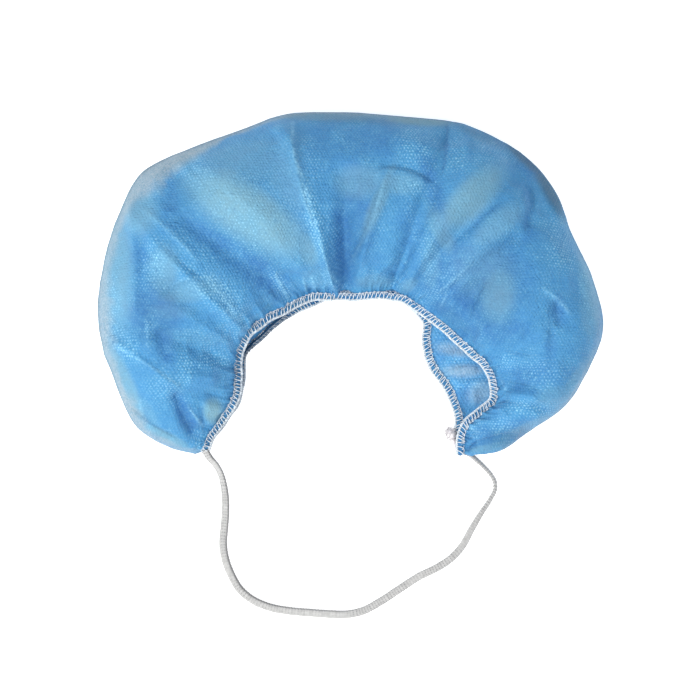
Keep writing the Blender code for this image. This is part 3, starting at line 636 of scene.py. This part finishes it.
def make_pouch(look):
    along = np.linspace(0, 1, COLUMNS + 1)
    points, out, is_top = smooth_cloth(along)
    row = np.arange(len(is_top))
    turned = (row >= TOP_STEPS) & (row < TOP_STEPS + TURN_STEPS)
    flats = flat_cloth(points, along)
    depth = cloth_depth(along, out, is_top, turned, flats, *to_photo(points))
    points = on_floor(points + normals_of(points) * depth[..., None])
    values = cloth_values(points, along, is_top, turned)
    points = with_ends(points, KNOT_SHARES, KNOT_AHEAD)
    flats = [with_ends(flat, np.ones(3), KNOT_FLAT_AHEAD) for flat in flats]
    data = grid_mesh("pouch_cloth", points, flats, TOP_STEPS + TURN_STEPS)
    knot = len(KNOT_SHARES)
    values = {name: np.pad(value, ((knot, knot), (0, 0)), mode="edge") for name, value in values.items()}
    return add_piece(data, values, look, "pouch")


def reach_along(line):
    """How far along the line each of its points is."""
    return np.concatenate([[0], np.cumsum(norm(np.diff(line, axis=0), axis=1))])


def hem_frame():
    """The elastic edge's middle, once round the mouth, with the way into the cloth and the way up at each point."""
    along = np.linspace(0, 1, MOUTH_POINTS)
    points, inward = [], []
    for name, other, step in (("upper", "lower", 1), ("lower", "upper", -1)):
        line = np.concatenate([plan(name, along), edge_height(name, along)[:, None]], axis=1)[::step]
        into = np.zeros_like(line)
        into[:, :2] = into_cloth(name, along)[::step]
        ahead = unit((line[-1] - line[-3]) * (1, 1, 0))
        angles = np.pi * np.arange(1, 12) / 12
        beyond = edge_height(other, along)[::step][-1]
        radius = (line[-1][2] - beyond) / 2
        turn = line[-1] + ahead * abs(radius) * np.sin(angles)[:, None]
        turn[:, 2] = beyond + radius * (1 + np.cos(angles))
        points += [line, turn]
        inward += [into, np.broadcast_to(into[-1], turn.shape)]
    points, inward = np.concatenate(points), np.concatenate(inward)
    closed, closed_in = (np.concatenate([values, values[:1]]) for values in (points, inward))
    reach = reach_along(closed)
    count = int(round(reach[-1] / STITCH_PITCH)) * STITCH_POINTS
    at = np.linspace(0, reach[-1], count, endpoint=False)
    return [np.stack([np.interp(at, reach, line[:, k]) for k in range(3)], axis=1) for line in (closed, closed_in)]


def ahead_round(ring):
    return unit(np.roll(ring, -1, axis=0) - np.roll(ring, 1, axis=0))


def blurred(values, steps):
    """Values round a closed ring, each averaged with its neighbours."""
    kernel = np.hanning(2 * steps + 3)[1:-1]
    wide = np.concatenate([values[-steps:], values, values[:steps]])
    return np.stack([np.convolve(wide[:, k], kernel / kernel.sum(), mode="valid") for k in range(3)], axis=1)


def quads(here, following):
    """The faces between rings of points, whose numbers are here and following."""
    sides = [here, np.roll(here, -1, axis=1), np.roll(following, -1, axis=1), following]
    return np.stack(sides, axis=-1).reshape(-1, 4)


def open_tube(index):
    return quads(index[:-1], index[1:]).tolist() + [index[0][::-1].tolist(), index[-1].tolist()]


def tube_mesh(paths, radius, sides, closed=False):
    """Round threads along the paths, as one mesh."""
    verts, faces = [], []
    for path in paths:
        path = np.asarray(path, float)
        ahead = ahead_round(path) if closed else unit(np.gradient(path, axis=0))
        side = unit(np.cross(ahead[0], (0.31, 0.17, 0.93)))
        across = []
        for direction in ahead:
            side = side - direction * (side @ direction)
            side = side / norm(side)
            across.append(side)
        across = np.array(across)
        over = np.cross(ahead, across)
        angles = circle(sides)[:, None]
        thick = np.broadcast_to(np.asarray(radius, float), (len(path),))[:, None, None]
        rings = path[:, None] + thick * (across[:, None] * np.cos(angles) + over[:, None] * np.sin(angles))
        base = sum(len(v) for v in verts)
        index = base + np.arange(len(path) * sides).reshape(len(path), sides)
        faces += quads(index, np.roll(index, -1, axis=0)).tolist() if closed else open_tube(index)
        verts.append(rings.reshape(-1, 3))
    return np.concatenate(verts), faces


# One stitch of the overlock: how far along in stitches, how far into the cloth as a share of the edge's width, and
# how high above its middle as a share of its thickness
LOOPER = (
    (0.0, -0.46, 0.34), (0.06, -0.3, 0.56), (0.16, -0.08, 0.66), (0.3, 0.16, 0.68), (0.46, 0.38, 0.62),
    (0.64, 0.52, 0.54), (0.82, 0.5, 0.48), (0.88, 0.34, 0.4), (0.84, 0.12, 0.28), (0.8, -0.1, 0.22),
    (0.8, -0.3, 0.24), (0.88, -0.48, 0.26),
)
LOOPER_BELOW = (
    (0.5, -0.56, -0.15), (0.6, -0.4, -0.5), (0.76, 0.0, -0.66), (0.92, 0.44, -0.4), (1.02, 0.54, -0.28),
    (1.1, 0.4, -0.46), (1.26, 0.0, -0.68), (1.42, -0.42, -0.52),
)
# Where the thread is speckled with grey
SPECKLED = table(PATCH,
    (238, 370, 56, 12, 0.6, 100), (216, 434, 28, 10, 0.4, 55), (278, 316, 46, 9, 0.45, 35), (318, 300, 26, 6, 0.3),
)
# Where the lower edge is rolled under and lies in the shadow of the upper one
ROLLED = table(PATCH,
    (268, 332, 34, 13, 0.88, 40), (246, 348, 16, 8, 1.0, 60),
)


def rolled_share(points):
    x, y = to_photo(points)
    return patch_share(x, y, ROLLED) * smooth_step((0.005 - points[..., 2]) / 0.002)


def make_hem(cloth_look, thread_look):
    middle, inward = hem_frame()
    count = len(middle)
    middle = blurred(middle, 6)
    ahead = ahead_round(middle)
    side = unit(blurred(inward, 10))
    side = unit(side - ahead * (side * ahead).sum(1, keepdims=True))
    up = np.cross(side, ahead)
    up = up * np.sign(up[:, 2:3] + 1e-9)
    place = np.arange(count) / STITCH_POINTS
    upper = smooth_step((middle[:, 2] - 0.0022) / 0.003)[:, None]
    ripple = 0.00035 * noise_along(place * 0.22, 71) + 0.00025 * noise_along(place * 0.5, 72)
    sway = 0.00025 * noise_along(place * 0.3, 73)
    middle = middle + up * np.maximum(ripple, -0.0002)[:, None] + side * sway[:, None]
    roll = np.radians(18 + 16 * noise_along(place * 0.035, 74))[:, None] * upper
    roll = roll + np.radians(75) * blurred(np.repeat(rolled_share(middle)[:, None], 3, axis=1), 8)[:, :1]
    side, up = side * np.cos(roll) + up * np.sin(roll), up * np.cos(roll) - side * np.sin(roll)

    angles = circle(BAND_SIDES)[:, None]
    squeeze = 1 - 0.1 * np.cos(2 * np.pi * place)[:, None, None]
    rings = on_floor(
        middle[:, None]
        + side[:, None] * (np.cos(angles) * HEM_WIDTH * BAND_WIDE)
        + up[:, None] * (np.sin(angles) * HEM_THICKNESS * BAND_HIGH) * squeeze
    )
    index = np.arange(count * BAND_SIDES).reshape(count, BAND_SIDES)
    verts = rings.reshape(-1, 3)
    band = mesh_of("hem_band", verts, quads(index, np.roll(index, -1, axis=0))[:, [0, 3, 2, 1]].tolist())
    # The band's darkening: a little everywhere, painted shadow where the lower edge is rolled under, grey flecks
    # where SPECKLED
    shade = 0.12 + 0.6 * np.maximum(rolled_share(verts), 0.8 * patch_share(*to_photo(verts), SPECKLED))
    add_piece(band, {"shade": shade}, cloth_look, "opening_hem")

    stitches = count // STITCH_POINTS
    rng = np.random.default_rng(5)

    def at(along, across, height):
        """A place on the edge, by stitches along, share of the width and share of the thickness."""
        along = np.asarray(along) * STITCH_POINTS
        i = np.floor(along).astype(int) % count
        j, t = (i + 1) % count, (along - np.floor(along))[:, None]
        centre, out, rise = (values[i] * (1 - t) + values[j] * t for values in (middle, side, up))
        return centre + out * (across * HEM_WIDTH)[:, None] + rise * (height * HEM_THICKNESS)[:, None]

    def looper(shape):
        """One uneven loop a stitch, and its painted shade at each point: darker where the thread dips low."""
        shape = np.array(shape)
        places = []
        for k in range(stitches):
            one = shape.copy()
            one[:, 0] += k + rng.normal(0, 0.1) + 0.22 * one[:, 1] * rng.normal(0, 1)
            reach = 1 + rng.normal(0, 0.15)
            one[:, 1] = np.where(one[:, 1] > 0, one[:, 1] * reach, one[:, 1])
            one[:, 2] += rng.normal(0, 0.05) * (one[:, 1] > -0.3)
            places.append(one)
        places = np.concatenate(places)
        fine = np.arange(len(places) * 2) / 2
        wide = np.concatenate([places, places[:1] + (stitches, 0, 0)])
        smooth = [curve_through(np.arange(len(wide)), wide[:, k], fine) for k in range(3)]
        return at(*smooth), np.clip(0.62 - smooth[2], 0, 0.5) * (smooth[2] > 0)

    def rope(phase):
        turn = np.arange(stitches * 10) / 10
        angle = 2 * np.pi * (turn + phase)
        # Painted shade on the low side of each twist, with uneven flecks
        flecks = np.clip(0.2 - 0.45 * np.sin(angle), 0, 1) + 0.35 * noise_along(turn * 2.3, 75)
        return at(turn, -0.44 + 0.1 * np.cos(angle), 0.2 + 0.16 * np.sin(angle)), flecks

    def needle():
        turn = np.arange(stitches * 6) / 6
        wave = 0.5 + 0.5 * np.cos(2 * np.pi * turn)
        # Painted shade where the thread dips low
        return at(turn, 0.46 + 0.07 * wave, 0.4 + 0.16 * wave), 0.35 - 0.35 * wave

    for name, (path, dark), radius, thread_sides in (
        ("overlock_loops", looper(LOOPER), THREAD_RADIUS, 5),
        ("overlock_loops_below", looper(LOOPER_BELOW), THREAD_RADIUS, 5),
        ("overlock_rope_a", rope(0.0), THREAD_RADIUS * 1.35, 6),
        ("overlock_rope_b", rope(0.5), THREAD_RADIUS * 1.35, 6),
        ("needle_thread", needle(), THREAD_RADIUS * 0.6, 5),
    ):
        verts, faces = tube_mesh([path], radius, thread_sides, closed=True)
        verts = on_floor(verts)
        # Grey flecks where SPECKLED, painted shadow where the lower edge is rolled under, and the thread's own
        # painted shade
        flecks = np.clip(0.42 + 1.5 * noise(verts[:, 0] / 0.0006, verts[:, 1] / 0.0006, 94), 0, 0.95)
        flecks = np.maximum(flecks * patch_share(*to_photo(verts), SPECKLED), 0.75 * rolled_share(verts))
        shade = np.maximum(np.repeat(dark, thread_sides), flecks)
        add_piece(mesh_of(name, verts, faces), {"shade": shade}, thread_look, "opening_hem")


def loop_path(count):
    route = np.array(LOOP_ROUTE)
    reach = reach_along(route)
    at = np.linspace(0, reach[-1], count)
    points = np.stack([curve_through(reach, route[:, k], at, overshoot=k < 2) for k in range(3)], axis=1)
    twist = np.radians(through(TWIST, "degrees", at / reach[-1]))
    points[:, 2] += np.abs(np.sin(twist)) * TAPE_WIDTH / 2 + np.abs(np.cos(twist)) * TAPE_THICKNESS / 2
    return points, twist, at


def make_loop(look):
    points, twist, at = loop_path(TAPE_RINGS)
    ahead = unit(np.gradient(points, axis=0))
    level = unit(np.cross((0, 0, 1.0), ahead))
    rise = np.cross(ahead, level)
    wide = level * np.cos(twist)[:, None] + rise * np.sin(twist)[:, None]
    thick = np.cross(ahead, wide)
    angles = circle(TAPE_SIDES)
    across, over = (np.sign(wave) * np.abs(wave) ** 0.75 for wave in (np.cos(angles), np.sin(angles)))
    wales = 0.5 + 0.5 * np.cos(across * 3.5 * np.pi)
    uneven = 0.25 * noise_along(at / 0.004, 81)[:, None]
    slant = 0.55 * np.abs(((across * 1.75 + 0.5) % 1) - 0.5) * 2
    knit = 0.5 + 0.5 * np.cos(2 * np.pi * (at[:, None] / KNIT_PITCH + slant + uneven))
    relief = 1 + 0.16 * (knit - 0.5) * (0.4 + 0.6 * wales) + 0.05 * (wales - 0.5)
    end = smooth_step(np.minimum(at, at[-1] - at) / 0.0008 * 0.8 + 0.35)[:, None]
    rings = on_floor(points[:, None] + (
        wide[:, None] * (across * relief * TAPE_WIDTH / 2 * end)[..., None]
        + thick[:, None] * (over * relief * TAPE_THICKNESS / 2 * end)[..., None]
    ))
    holes = np.clip(1 - 2.4 * knit, 0, 1) * np.clip(1.1 - wales, 0, 1)
    patchy = np.clip(0.7 + 0.6 * noise_along(at / 0.009, 82), 0.2, 1.2)[:, None]
    level_side = (rings - points[:, None]) @ np.array([0.8, 0.6, 0.0]) / TAPE_WIDTH
    # Painted shade in the knit holes and along the tape's side turned away from the light
    shade = holes * patchy * 0.9 + 0.75 * smooth_step((level_side - 0.12) / 0.25)
    data = mesh_of("loop_elastic", rings.reshape(-1, 3), open_tube(np.arange(shade.size).reshape(shade.shape)))
    piece = add_piece(data, {"shade": shade}, look, "head_loop")


def make_tail(look):
    """The frayed end of the elastic: a knotted stub from the corner up to a ball of loose fibres."""
    start, bend, end = np.array(STUB)

    def stub(t):
        return start * (1 - t) ** 2 + bend * (2 * t * (1 - t)) + end * (t * t)

    t = np.linspace(0, 1, STUB_RINGS)
    ball = np.sqrt(np.clip(1 - ((t - 0.78) / 0.24) ** 2, 0.02, 1))
    radii = 0.0009 + 0.0011 * smooth_step((t - 0.35) / 0.4) * ball
    radii = radii * (1 + 0.1 * noise_along(t * 14, 91))
    rng = np.random.default_rng(9)
    verts, faces = tube_mesh([stub(t[:, None])], radii, STUB_SIDES)
    hairs = []
    for _ in range(FIBRES):
        t0 = rng.beta(3.0, 1.1)
        heading = unit(rng.normal(0, 1, 3))
        ball = 0.35 + 0.65 * smooth_step((t0 - 0.35) / 0.4)
        curl = np.cross(heading, rng.normal(0, 1, 3))
        steps = np.linspace(0, 1, 7)[:, None]
        hair = stub(t0) + heading * 0.001 * ball
        hair = hair + heading * rng.uniform(0.0006, 0.0014) * ball * np.sin(steps * 2.2)
        hair = hair + curl * rng.uniform(0.0003, 0.0009) * ball * (1 - np.cos(steps * 2.8))
        hair[:, 2] = np.maximum(hair[:, 2], 0.00008)
        hairs.append(hair)
    more, more_faces = tube_mesh(hairs, FIBRE_RADIUS, 4)
    faces += [[i + len(verts) for i in face] for face in more_faces]
    verts = on_floor(np.concatenate([verts, more]))
    shade = 0.05 + 0.45 * noise(verts[:, 0] / 0.0009, verts[:, 1] / 0.0009, 92)
    add_piece(mesh_of("tail_tuft", verts, faces), {"shade": shade}, look, "elastic_tail")


class Nodes:
    """Short names for making a material's nodes. Most of them give the new node's output."""

    def __init__(self, name):
        self.material = bpy.data.materials.new(name)
        self.material.use_nodes = True
        self.tree = self.material.node_tree
        self.tree.nodes.clear()

    def node(self, kind, inputs=(), **settings):
        node = self.tree.nodes.new("ShaderNode" + kind)
        for key, value in settings.items():
            setattr(node, key, value)
        for key, value in dict(inputs).items():
            if isinstance(value, bpy.types.NodeSocket):
                self.tree.links.new(value, node.inputs[key])
            else:
                node.inputs[key].default_value = value
        return node

    def add(self, kind, inputs=(), **settings):
        return self.node(kind, inputs, **settings).outputs[0]

    def math(self, operation, *values, clamp=False):
        return self.add("Math", enumerate(values), operation=operation, use_clamp=clamp)

    times = partialmethod(math, "MULTIPLY")
    plus = partialmethod(math, "ADD")
    minus = partialmethod(math, "SUBTRACT")

    def above(self, value, start, gain, clamp=False):
        """How far the value is above the start, times the gain."""
        return self.times(self.minus(value, start, clamp=True), gain, clamp=clamp)

    def vector(self, operation, place, key, value):
        return self.add("VectorMath", {0: place, key: value}, operation=operation)

    def texture(self, place, scale, detail, output=0, **inputs):
        inputs = {"Vector": place, "Scale": scale, "Detail": detail, **inputs}
        return self.node("TexNoise", inputs).outputs[output]

    def bump(self, height, strength, distance, **inputs):
        return self.add("Bump", {"Height": height, "Strength": strength, "Distance": distance, **inputs})

    def value(self, name):
        return self.node("Attribute", attribute_name=name).outputs["Fac"]

    def blend(self, share, first, second):
        """A mix of two colours; a tuple is red, green and blue."""
        first, second = ((*colour, 1.0) if isinstance(colour, tuple) else colour for colour in (first, second))
        return self.node("Mix", {0: share, 6: first, 7: second}, data_type="RGBA").outputs[2]

    def output(self, shader):
        self.node("OutputMaterial", {"Surface": shader})
        return self.material


def embossed_dots(n, place):
    """Where the cloth's dots are: staggered rows of round dots, a little out of line."""
    drift = n.vector("SUBTRACT", n.texture(place, 160.0, 2.0, output="Color"), 1, (0.5, 0.5, 0.5))
    printed = n.vector("ADD", place, 1, n.vector("SCALE", drift, "Scale", 0.0022))
    parts = n.node("SeparateXYZ", {0: printed}).outputs
    row = n.math("DIVIDE", parts[1], DOT_PITCH * DOT_ROWS)
    odd = n.times(n.math("MODULO", n.plus(n.math("FLOOR", row), 1000.0), 2.0), 0.5)
    across = n.minus(n.math("FRACT", n.plus(n.math("DIVIDE", parts[0], DOT_PITCH), odd)), 0.5)
    back = n.times(n.minus(n.math("FRACT", row), 0.5), DOT_ROWS)
    away = n.math("SQRT", n.plus(n.times(across, across), n.times(back, back)))
    return n.add("MapRange", {0: away, 1: 0.36, 2: 0.15, 3: 0.0, 4: 1.0}, interpolation_type="SMOOTHSTEP")


def nonwoven_look(name, dressed):
    """The blue nonwoven: fine embossed dots, cloudy fibres, and painted light and shade: paler, deeper and greyer
    places, glints and highlights.
    """
    n = Nodes(name)
    if dressed:
        place = n.add("UVMap", uv_map="flat")
        pale, deep, rim, glint, shine, line = map(n.value, ("pale", "deep", "rim", "glint", "shine", "line"))
    else:
        place = n.node("TexCoord").outputs["Object"]
        pale, deep, rim, glint, shine, line = 0.0, 0.6, 0.0, 0.0, 0.0, 0.0
    dot = embossed_dots(n, place)
    cloud = n.texture(place, 95.0, 6.0, Roughness=0.62)
    mottle = n.texture(place, 330.0, 4.0, Roughness=0.6)
    fibre = n.texture(place, 950.0, 3.0, Distortion=1.2)
    broken = n.above(fibre, 0.3, 3.0)
    # The dots painted lighter as glints: patchy where the cloud noise is high, strongest where glint is painted
    lit = n.times(n.plus(n.above(cloud, 0.47, 1.6), n.times(glint, 0.85)), broken)
    dots_and_glints = n.times(n.plus(dot, n.above(fibre, 0.52, 2.2)), n.plus(0.05, lit), clamp=True)
    under = n.times(n.minus(0.46, fibre, clamp=True), n.plus(0.9, n.times(glint, 2.2)), clamp=True)
    grey = n.blend(n.above(fibre, 0.3, 2.2, clamp=True), (0.215, 0.355, 0.435), (0.5, 0.56, 0.585))
    # The cloth's own blue, painted deeper as shade where deep is high
    blue = n.blend(deep, (0.064, 0.272, 0.548), (0.036, 0.165, 0.43))
    for share, colour in (
        # Painted paler where light shines through and sheen falls
        (pale, (0.245, 0.428, 0.476)),
        (n.plus(0.18, n.times(n.minus(cloud, 0.5), 1.1), clamp=True), (0.1, 0.37, 0.585)),
        (n.above(mottle, 0.48, 0.9), (0.14, 0.43, 0.665)),
        (n.above(fibre, 0.38, 0.7), (0.17, 0.45, 0.69)),
        # Painted glints
        (n.times(glint, 0.3), (0.11, 0.425, 0.72)),
        # Dots and fibres painted lighter as glints, and the painted crease highlights
        (n.plus(dots_and_glints, n.times(shine, n.times(broken, 0.9)), clamp=True), (0.33, 0.67, 0.86)),
        # Dark fibre specks, stronger in the painted glints
        (under, (0.028, 0.155, 0.4)),
        # The painted grey rim
        (n.times(rim, 0.88), grey),
        # Painted shade: the closed fold's outline, shaded crease lines and shaded places
        (n.times(line, 0.75), (0.03, 0.095, 0.15)),
    ):
        blue = n.blend(share, blue, colour)
    if not dressed:
        # The band darkened by its shade value, painted shadow where it is rolled under
        blue = n.blend(n.value("shade"), blue, (0.01, 0.022, 0.055))
    crinkle = n.texture(place, 260.0, 5.0, Distortion=0.8)
    coarse = n.bump(n.math("ABSOLUTE", n.minus(crinkle, 0.5)), 0.42, 0.0024)
    bump = n.bump(n.plus(n.times(dot, -0.8), n.times(fibre, 0.9)), 0.6, 0.00026, Normal=coarse)
    cloth = n.add("BsdfPrincipled", {
        "Base Color": blue, "Roughness": n.minus(0.62, n.times(dot, 0.2)), "Normal": bump,
        "Sheen Weight": 0.04, "Specular IOR Level": 0.16,
    })
    glow = n.add("BsdfTranslucent", {"Color": blue, "Normal": bump})
    mixed = n.add("MixShader", {0: 0.26, 1: cloth, 2: glow})
    open_share = n.plus(n.times(rim, 0.05), 0.02 if dressed else 0.0, clamp=True)
    return n.output(n.add("MixShader", {0: open_share, 1: mixed, 2: n.add("BsdfTransparent")}))


def thread_look(name, colour, dark, scale):
    """White spun thread: fine twist, a little unevenness, and darker where its shade value is high."""
    n = Nodes(name)
    place = n.node("TexCoord").outputs["Object"]
    uneven = n.above(n.texture(place, scale * 0.25, 3.0), 0.3, 1.6, clamp=True)
    # The thread's own uneven tone
    shade = n.blend(uneven, colour, tuple(c * 0.62 for c in colour))
    return n.output(n.add("BsdfPrincipled", {
        # Darkened by the shade value: painted shade on the hem's threads and the loop, uneven darker places on the
        # tail
        "Base Color": n.blend(n.value("shade"), shade, dark), "Roughness": 0.85, "Sheen Weight": 0.25,
        "Normal": n.bump(n.texture(place, scale, 4.0, Distortion=2.0), 0.7, 0.00008),
    }))


def make_floor(size=4.0, height=-0.0002):
    data = bpy.data.meshes.new("floor")
    corners = ((-size, -size), (size, -size), (size, size), (-size, size))
    data.from_pydata([(x, y, height) for x, y in corners], [], [(0, 1, 2, 3)])
    n = Nodes("floor_white")
    white = n.add("BsdfDiffuse", {"Color": (0.88, 0.88, 0.88, 1.0)})
    bright = n.add("Emission", {"Color": (1.0, 1.0, 1.0, 1.0), "Strength": 0.62})
    data.materials.append(n.output(n.add("AddShader", {0: white, 1: bright})))
    floor = add_object("floor", data)


def make_light(name, place, size, energy, colour):
    data = bpy.data.lights.new(name, "AREA")
    data.shape = "DISK"
    data.size = size
    data.energy = energy
    data.color = colour
    light = add_object(name, data)
    light.location = place
    light.rotation_mode = "QUATERNION"
    aim = -(np.array(place) - np.array((0, 0, 0.02)))
    light.rotation_quaternion = Vector(aim).to_track_quat("-Z", "Y")


def make_camera():
    data = bpy.data.cameras.new("camera")
    data.sensor_width = SENSOR
    data.lens = SENSOR * (CAMERA_HEIGHT - SEEN_HEIGHT) / (2 * MIDDLE * PIXEL)
    data.clip_end = 20.0
    camera = add_object("camera", data)
    camera.location = (0.0, MIDDLE_Y, CAMERA_HEIGHT)
    bpy.context.scene.camera = camera


make_camera()
make_loop(thread_look("elastic_knit", (0.46, 0.46, 0.455), (0.1, 0.1, 0.105), 2500.0))
pouch = make_pouch(nonwoven_look("nonwoven_blue", True))
overlock = thread_look("overlock_thread", (0.74, 0.81, 0.86), (0.04, 0.08, 0.15), 5000.0)
make_hem(nonwoven_look("nonwoven_hem", False), overlock)
make_tail(thread_look("elastic_fibres", (0.78, 0.75, 0.77), (0.36, 0.33, 0.35), 4000.0))

make_floor()
world = bpy.data.worlds.new("studio")
world.use_nodes = True
sky = world.node_tree.nodes["Background"].inputs
sky["Color"].default_value = (0.97, 0.98, 1.0, 1.0)
sky["Strength"].default_value = 0.655
bpy.context.scene.world = world
make_light("key", (-0.8, -0.42, 1.15), 0.6, 20.0, (1.0, 0.99, 0.97))
make_light("fill", (0.6, -0.9, 1.6), 1.6, 13.0, (1.0, 1.0, 1.0))
bpy.context.scene.view_settings.view_transform = "Standard"
